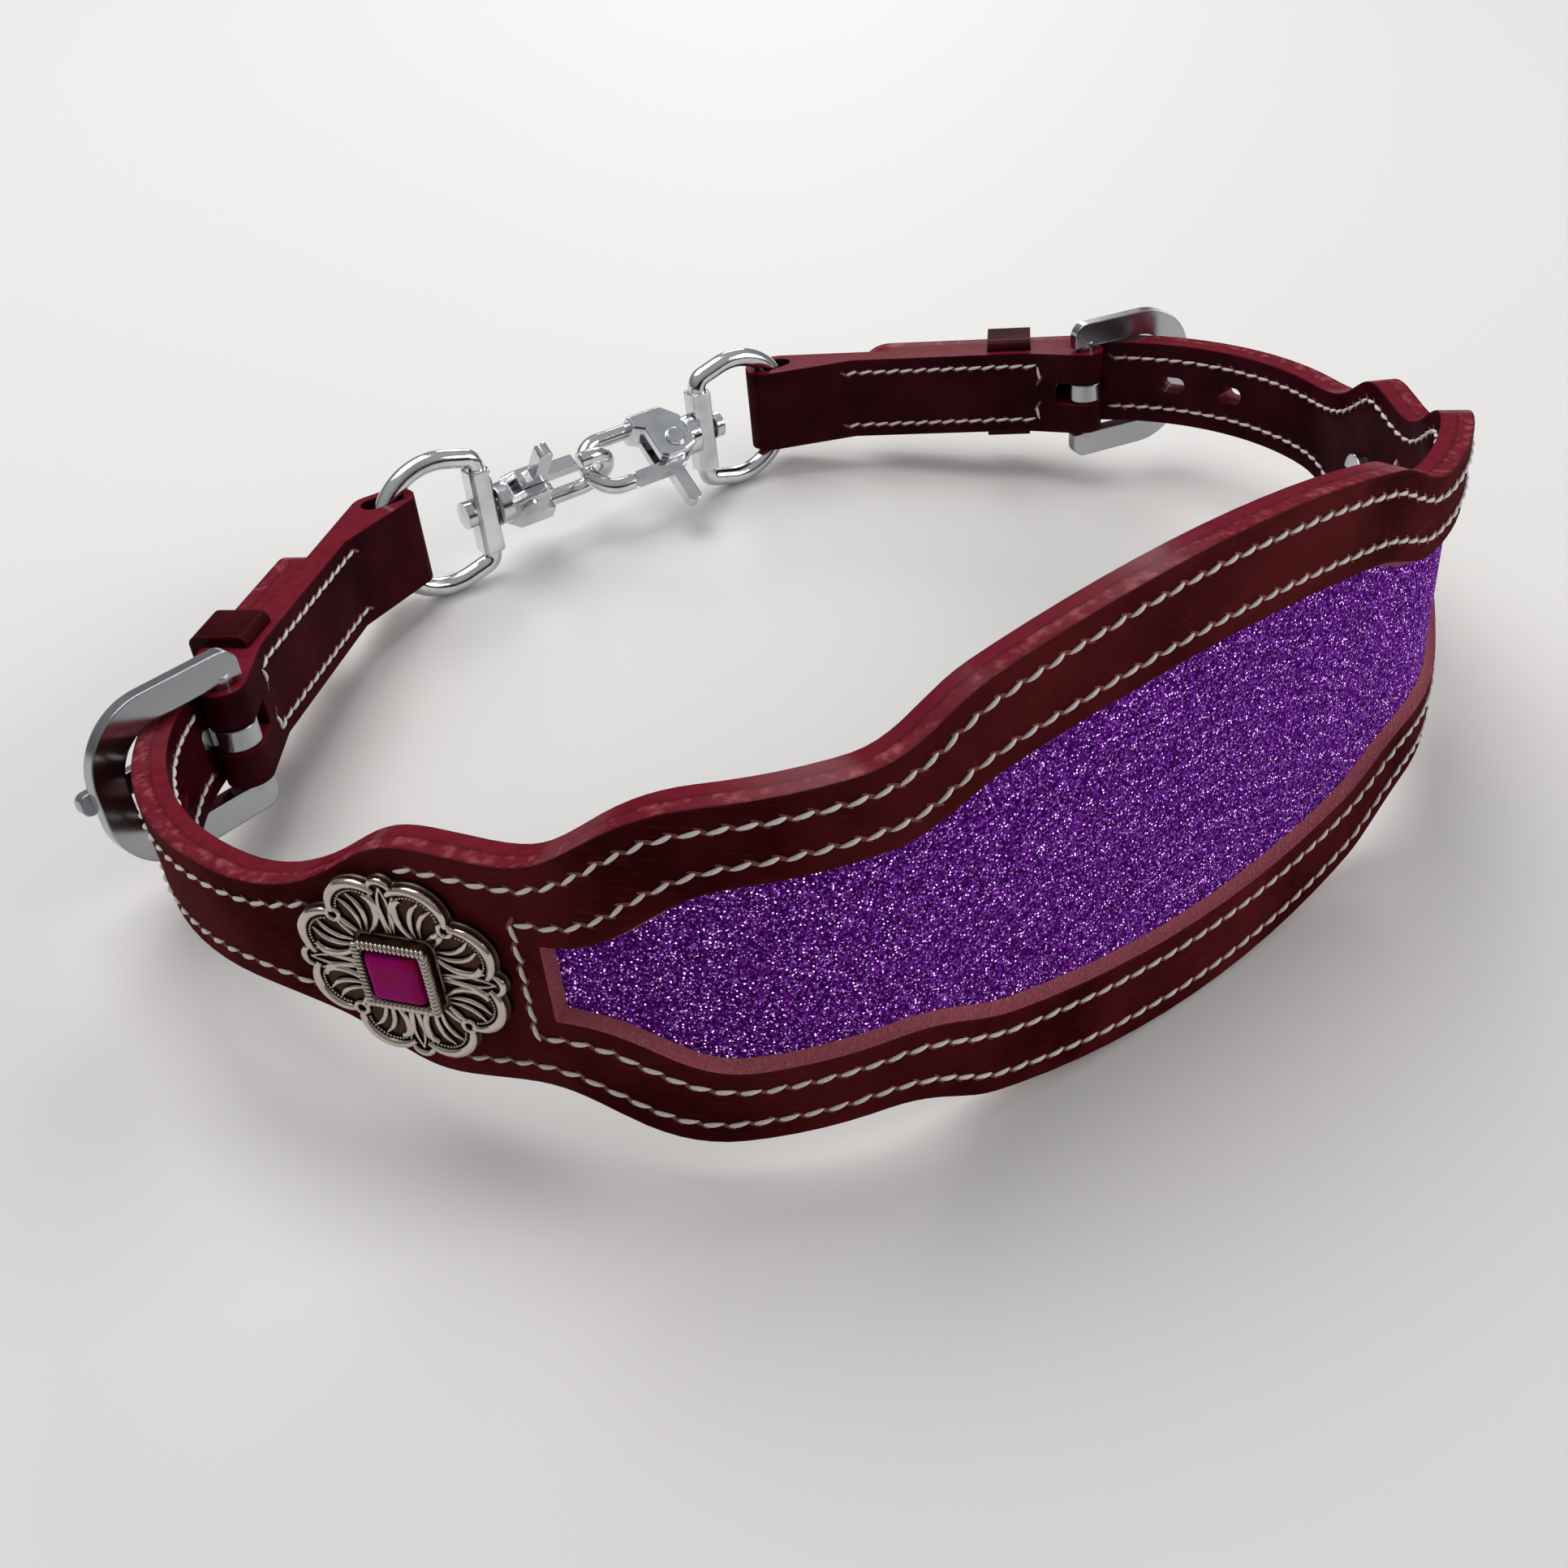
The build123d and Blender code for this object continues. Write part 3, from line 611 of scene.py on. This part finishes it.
# %% Lining, chape and keeper leather
lining = Paint("chocolate_lining")
wall, _ = wall_masks(lining)
blotch = lining.ramp(lining.noise(60, 4), 0.35, 0.7)
grain = lining.noise(1800, 3)
pores = lining.node("TexVoronoi", {}, {"Vector": lining.place, "Scale": 1500.0}, "Distance")
skin = lining.mix(blotch, (0.017, 0.0016, 0.0036), (0.048, 0.0048, 0.0092))
skin = lining.mix(worn_and_shaded_rim(lining, 0.9 * mm) * 0.5, skin, (0.10, 0.008, 0.014))
burnish = lining.noise(1, 4, lining.stretch((500, 500, 160)))
colour = lining.mix(wall, skin, lining.mix(burnish, (0.080, 0.0040, 0.0100), (0.20, 0.0130, 0.0260)))
smooth_lining = lining.finish(
    base_color=colour,
    roughness=0.32 + blotch * 0.08,
    specular_ior_level=0.0,
    coat_weight=0.05 + wall * 0.15,
    coat_roughness=0.16,
    normal=lining.bump(grain * 0.5 + pores * 0.5, 0.35, 0.0001, lining.soft_edges(0.9 * mm)),
)
band = Paint("keeper_leather")
patches = band.ramp(band.noise(90, 4), 0.35, 0.7)
skin = band.mix(patches, (0.020, 0.0018, 0.0032), (0.055, 0.0050, 0.0080))
keeper_leather = band.finish(
    base_color=band.mix(worn_and_shaded_rim(band, 0.8 * mm) * 0.8, skin, (0.13, 0.009, 0.016)),
    roughness=0.34 + patches * 0.08,
    specular_ior_level=0.0,
    coat_weight=0.10,
    coat_roughness=0.16,
    normal=band.bump(band.noise(1800, 3), 0.35, 0.0001, band.soft_edges(0.6 * mm)),
)
dressed = {"panel_lining": smooth_lining, "chape": smooth_lining, "keeper": keeper_leather}
for name, piece in nodes.items():
    for start, leather_paint in dressed.items():
        if name.startswith(start):
            piece.data.materials.clear()
            piece.data.materials.append(leather_paint)

# %% [markdown]
# ## The raw edge of the window
# The window was cut with a slanting knife and left raw, so a band of fibrous suede runs all
# round it, from the face down to the glitter sheet.

# %% Raw window edge
raw_paint = Paint("raw_suede")
nap = raw_paint.noise(2600, 5, rough=0.7)
tuft = raw_paint.ramp(raw_paint.noise(1300, 4), 0.5, 0.72)
raw_tint = raw_paint.mix(nap, (0.22, 0.028, 0.046), (0.58, 0.145, 0.185))
raw_suede = raw_paint.finish(
    base_color=raw_paint.mix(tuft * 0.5, raw_tint, (0.58, 0.28, 0.25)),
    roughness=0.85,
    specular_ior_level=0.2,
    normal=raw_paint.bump(nap + tuft, 0.9, 0.0003),
)
window_s, window_h = edge_line(window_cut, 0, window_end - 0.4 * mm, 0.8 * mm)
rungs = []
around = 560
dice = random.Random(5)
for offset, depth in ((0.0, 0.03), (0.25, 0.75), (0.75, 1.45), (1.25, 1.95)):
    row_s, row_h = inset(window_s, window_h, offset * mm)
    keep = row_s < window_end - offset * mm
    row_s, row_h = row_s[keep], row_h[keep]
    row_s = np.append(row_s, [window_end - offset * mm] * 2)
    row_h = np.append(row_h, [row_h[-1], 0.0])
    rows = list(zip(row_s, row_h)) + [(s, -h) for s, h in list(zip(row_s, row_h))[-2::-1]]
    rows = rows + [(-s, h) for s, h in rows[-2:0:-1]]
    lengths = np.concatenate(
        [[0], np.cumsum(np.linalg.norm(np.diff(np.array(rows + rows[:1]), axis=0), axis=1))]
    )
    marks = np.arange(around) / around * lengths[-1]
    closed = np.array(rows + rows[:1])
    rungs.append(
        [
            on_loop(
                float(np.interp(m, lengths, closed[:, 0])),
                float(np.interp(m, lengths, closed[:, 1])),
                (depth + (dice.uniform(-0.07, 0.07) if offset else 0)) * mm,
            )[0]
            for m in marks
        ]
    )
raw_edge = bpy.data.meshes.new("raw_window_edge")
quads = []
for r in range(len(rungs) - 1):
    low, high = r * around, (r + 1) * around
    for i in range(around):
        j = (i + 1) % around
        quads.append((low + i, high + i, high + j, low + j))
raw_edge.from_pydata([point[:] for rung in rungs for point in rung], [], quads)
raw_edge.update()
raw_band = bpy.data.objects.new("raw_window_edge", raw_edge)
bpy.context.scene.collection.objects.link(raw_band)
for face_of_band in raw_edge.polygons:
    face_of_band.use_smooth = True
raw_edge.materials.append(raw_suede)
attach(raw_band, "collar")
print("raw band", len(raw_edge.polygons), "normal out", raw_edge.polygons[0].normal[:])

# %% [markdown]
# ## Glitter
# Glitter film is flakes about 0.3 mm wide, each lying at its own small angle.  A Voronoi
# texture gives every flake one random colour value, which tilts its normal and picks its tint.
# A coarser one picks cells that hold a painted sparkle, and a finer one adds faint painted glints:
# both are lighter and glow a little, as a flake that catches a lamp is far brighter than the rest.

# %% Glitter sheet
glitter = Paint("violet_glitter")
flake = glitter.node("TexVoronoi", {}, {"Vector": glitter.place, "Scale": 3300.0}, "Color")
fine = glitter.node("TexVoronoi", {}, {"Vector": glitter.place, "Scale": 5200.0}, "Color")
chance = glitter.dot(flake, (0.45, 0.35, 0.2))
speck_cells = {"Vector": glitter.place, "Scale": 1900.0}
speck = glitter.node("TexVoronoi", {}, speck_cells, "Distance")
luck = glitter.dot(glitter.node("TexVoronoi", {}, speck_cells, "Color"), (0.3, 0.4, 0.3))
other = glitter.dot(fine, (0.3, 0.4, 0.3))
tint = glitter.node(
    "ValToRGB",
    {
        "stops": [
            (0.0, (0.014, 0.0010, 0.030)),
            (0.42, (0.050, 0.0035, 0.105)),
            (0.62, (0.130, 0.0120, 0.250)),
            (0.74, (0.28, 0.035, 0.50)),
        ]
    },
    {"Fac": chance},
    "Color",
)
point = 1 - glitter.ramp(speck, 0.19, 0.30)
spark = point * glitter.ramp(luck, 0.52, 0.78)
glint = glitter.ramp(other, 0.76, 0.80) * 0.16
# Painted highlight: sparkle and glint cells are painted pale lilac.
tint = glitter.mix(spark * 0.7 + glint * 0.3, tint, (0.62, 0.36, 0.95))
tilt = glitter.node("VectorMath", {"operation": "SUBTRACT"}, {0: flake, 1: (0.5, 0.5, 0.5)})
tilt = glitter.node("VectorMath", {"operation": "SCALE"}, {0: tilt, "Scale": 0.42})
flat_normal = glitter.node("NewGeometry", out="Normal")
tilted = glitter.node("VectorMath", {"operation": "ADD"}, {0: flat_normal, 1: tilt})
tilted = glitter.node("VectorMath", {"operation": "NORMALIZE"}, {0: tilted})
violet_glitter = glitter.finish(
    base_color=tint,
    roughness=0.30,
    specular_ior_level=0.0,
    # Painted glints: the same cells glow, though they are no lamp.
    emission_color=glitter.mix(spark + glint, (0.0, 0.0, 0.0), (0.80, 0.42, 1.0)),
    emission_strength=3.4,
    normal=tilted,
)
nodes["glitter_inlay"].data.materials.clear()
nodes["glitter_inlay"].data.materials.append(violet_glitter)

# %% [markdown]
# ## Metals and stone
# The snaps and swivel eyes are bright nickel over a cast surface, the buckles are satin
# stainless, and the conchos are antiqued: bright on top and dark brown in the recesses.

# %% Metals and stone
nickel_paint = Paint("bright_nickel")
cast = nickel_paint.noise(420, 3)
smudge = nickel_paint.ramp(nickel_paint.noise(150, 4), 0.4, 0.7)
bright_nickel = nickel_paint.finish(
    base_color=nickel_paint.mix(smudge, (0.74, 0.75, 0.77), (0.55, 0.56, 0.575)),
    metallic=1.0,
    roughness=0.10 + smudge * 0.12,
    normal=nickel_paint.bump(cast, 0.25, 0.0002, nickel_paint.soft_edges(0.45 * mm)),
)
steel_paint = Paint("satin_stainless")
brushed = steel_paint.noise(1, 5, steel_paint.stretch((300, 300, 3200)), 0.7)
satin_stainless = steel_paint.finish(
    base_color=steel_paint.mix(brushed, (0.36, 0.375, 0.40), (0.48, 0.495, 0.52)),
    metallic=1.0,
    roughness=0.15 + brushed * 0.10,
    normal=steel_paint.bump(brushed, 0.03, 0.0001, steel_paint.soft_edges(0.5 * mm)),
)
silver_paint = Paint("antique_silver")
open_air = silver_paint.node(
    "AmbientOcclusion", {"samples": 8}, {"Distance": 1.3 * mm}, "AO"
)
patina = silver_paint.ramp(open_air, 0.35, 0.85)
stain = silver_paint.noise(330, 4)
# Painted reflection: the silver is warmed brown, standing in for a brown floor mirrored in it.
bright = silver_paint.mix(stain, (0.42, 0.34, 0.29), (0.72, 0.64, 0.575))
antique_silver = silver_paint.finish(
    base_color=silver_paint.mix(patina, (0.030, 0.014, 0.009), bright),
    metallic=1.0,
    roughness=0.27 - patina * 0.18 + stain * 0.05,
    normal=silver_paint.bump(stain, 0.2, 0.00015, silver_paint.soft_edges(0.3 * mm)),
)
stone_paint = Paint("magenta_stone")
cloud = stone_paint.ramp(stone_paint.noise(120, 2), 0.3, 0.7)
magenta_stone = stone_paint.finish(
    base_color=stone_paint.mix(cloud, (0.30, 0.0015, 0.060), (0.33, 0.003, 0.19)),
    roughness=0.2,
    specular_ior_level=0.0,
    coat_weight=0.14,
    coat_roughness=0.04,
    normal=stone_paint.soft_edges(0.7 * mm),
)
finishes = {
    "swivel_eye": bright_nickel,
    "snap_hook": bright_nickel,
    "snap_gate": bright_nickel,
    "gate_rivet": bright_nickel,
    "concho_screw": bright_nickel,
    "concho_stone": magenta_stone,
    "buckle": satin_stainless,
}
for name, piece in nodes.items():
    for start, finish in finishes.items():
        if name.startswith(start):
            piece.data.materials.clear()
            piece.data.materials.append(finish)
recess_paint = Paint("oxidised_recess")
tarnish = recess_paint.noise(500, 4)
oxidised_recess = recess_paint.finish(
    base_color=recess_paint.mix(
        worn_and_shaded_rim(recess_paint, 0.5 * mm),
        recess_paint.mix(tarnish, (0.020, 0.008, 0.005), (0.080, 0.034, 0.019)),
        # Painted reflection: the rubbed edges share the same warm brown cast.
        (0.34, 0.27, 0.235),
    ),
    metallic=1.0,
    roughness=0.30 + tarnish * 0.15,
    normal=recess_paint.bump(tarnish, 0.35, 0.0002, recess_paint.soft_edges(0.5 * mm)),
)
for name in ("concho_left", "concho_right"):
    nodes[name].data.materials.clear()
    nodes[name].data.materials.append(oxidised_recess)

# %% [markdown]
# ## Scroll relief of the conchos
# Each side of the square bezel carries a pair of scrolled lobes, with leaf blades inside them
# and a small palmette between them, and a ring fills every corner.  One eighth of the pattern
# is drawn in millimetres with tapering strokes, x along the strap and y across it, and the rest
# follows by mirroring.

# %% Strokes of one eighth
lobe = Vector((9.84, 4.08))
relief_lift, bead_lift, rope_lift = 1.72, 1.75, 3.35


def arc(centre, radius, start, stop, count, shrink=1.0):
    """Points round a centre; the radius shrinks evenly towards the end."""
    for i in range(count):
        share = i / (count - 1)
        angle = math.radians(start + (stop - start) * share)
        reach = radius * (1 + (shrink - 1) * share)
        yield (centre[0] + reach * math.cos(angle), centre[1] + reach * math.sin(angle))


def tapered(points, thick, ends):
    """Points with a half-width that swells in the middle of the stroke."""
    points = list(points)
    last = len(points) - 1
    return [
        (x, y, ends + (thick - ends) * math.sin(math.pi * i / last) ** 0.7)
        for i, (x, y) in enumerate(points)
    ]


eighths = [
    tapered(arc(lobe, 4.8, 98, -40, 9), 0.82, 0.45),
    tapered(arc(lobe, 3.55, -28, -82, 4, 0.9), 0.5, 0.3),
    tapered([(12.9, 2.9), (12.2, 1.95), (10.4, 1.5), (8.3, 1.9), (6.3, 3.1)], 0.6, 0.42),
    tapered([(6.4, 3.7), (9.0, 3.5), (11.3, 4.2), (12.8, 5.6)], 0.5, 0.2),
    tapered([(6.5, 4.5), (8.8, 4.8), (10.7, 5.9), (11.7, 7.2)], 0.46, 0.18),
    tapered([(6.3, 0.55), (8.6, 0.75), (11.2, 1.1), (13.3, 1.85)], 0.36, 0.22),
    tapered([(6.2, 5.4), (7.4, 6.8), (8.2, 7.7)], 0.5, 0.34),
]
quarters = [
    tapered([(6.5, 0.0), (9.4, 0.5), (12.0, 0.72), (14.7, 0.0)], 0.3, 0.18),
    tapered([(6.5, 0.0), (9.4, -0.5), (12.0, -0.72), (14.7, 0.0)], 0.3, 0.18),
    tapered(arc((13.95, 0), 1.72, -75, 75, 7), 0.56, 0.3),
]
ring_bead = list(arc((8.65, 8.65), 0.95, 0, 360, 11))[:-1]


# %% Cast relief, beaded lines and rope bezels
def concho_frame(side):
    point, along, inward = on_loop(side * concho_station, 0)
    placed = Matrix((along, across, -inward)).transposed().to_4x4()
    placed.translation = point
    return placed


def relief(name, side):
    """All strokes of one concho as one cast piece."""
    curve = bpy.data.curves.new(name, "CURVE")
    curve.dimensions = "3D"
    curve.bevel_depth = 1.0
    curve.bevel_resolution = 2
    curve.resolution_u = 5
    curve.use_fill_caps = True

    def stroke(points, turn, mirror, closed=False):
        spline = curve.splines.new("BEZIER")
        spline.bezier_points.add(len(points) - 1)
        spline.use_cyclic_u = closed
        for bezier, (x, y, thick) in zip(spline.bezier_points, points):
            bezier.co = Matrix.Rotation(turn, 3, "Z") @ Vector((x, y * mirror, 0))
            bezier.radius = thick
            bezier.handle_left_type = bezier.handle_right_type = "AUTO"

    for quarter in range(4):
        turn = quarter * math.pi / 2
        for points in eighths:
            stroke(points, turn, 1)
            stroke(points, turn, -1)
        for points in quarters:
            stroke(points, turn, 1)
        stroke([(x, y, 0.42) for x, y in ring_bead], turn, 1, True)
    made = bpy.data.objects.new(name, curve)
    bpy.context.scene.collection.objects.link(made)
    bpy.ops.object.select_all(action="DESELECT")
    made.select_set(True)
    bpy.context.view_layer.objects.active = made
    bpy.ops.object.convert(target="MESH")
    made = bpy.context.object
    flat = Matrix.Diagonal((mm, mm, 0.85 * mm, 1))
    made.data.transform(
        concho_frame(side) @ Matrix.Translation((0, 0, relief_lift * mm)) @ flat
    )
    for face in made.data.polygons:
        face.use_smooth = True
    return made


def bead_maker():
    bpy.ops.mesh.primitive_uv_sphere_add(segments=8, ring_count=6, radius=1)


bead = shape_of(bead_maker)


def beads(side):
    """Frames of the beaded line inside every lobe."""
    placed = concho_frame(side)
    frames = []
    for quarter in range(4):
        for mirror in (1, -1):
            for x, y in arc(lobe, 3.7, 84, -24, 14):
                spot = Vector((x, y * mirror, bead_lift))
                spot.rotate(Matrix.Rotation(quarter * math.pi / 2, 3, "Z"))
                frames.append(placed @ Matrix.Translation(spot * mm) @ Matrix.Scale(0.24 * mm, 4))
    return frames


def rope(side):
    """Frames of the slanted turns of the twisted wire round the stone."""
    placed = concho_frame(side)
    frames = []
    half, turns_each = 5.25, 15
    for quarter in range(4):
        turned_side = Matrix.Rotation(quarter * math.pi / 2, 4, "Z")
        for i in range(turns_each):
            y = -half + 2 * half * i / turns_each
            local = turned_side @ Matrix.Translation((half * mm, y * mm, rope_lift * mm))
            local = local @ Matrix.Rotation(math.radians(32), 4, "X")
            frames.append(placed @ local @ Matrix.Diagonal((0.82 * mm, 0.42 * mm, 0.82 * mm, 1)))
    return frames


silver_pieces = []
for side, word in ((1, "right"), (-1, "left")):
    silver_pieces.append(relief("scroll_relief_" + word, side))
    silver_pieces.append(stamped("beaded_lines_" + word, bead, beads(side)))
    silver_pieces.append(stamped("rope_bezel_" + word, bead, rope(side)))
for piece in silver_pieces:
    piece.data.materials.clear()
    piece.data.materials.append(antique_silver)
    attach(piece, "collar")
    print(piece.name, len(piece.data.polygons))
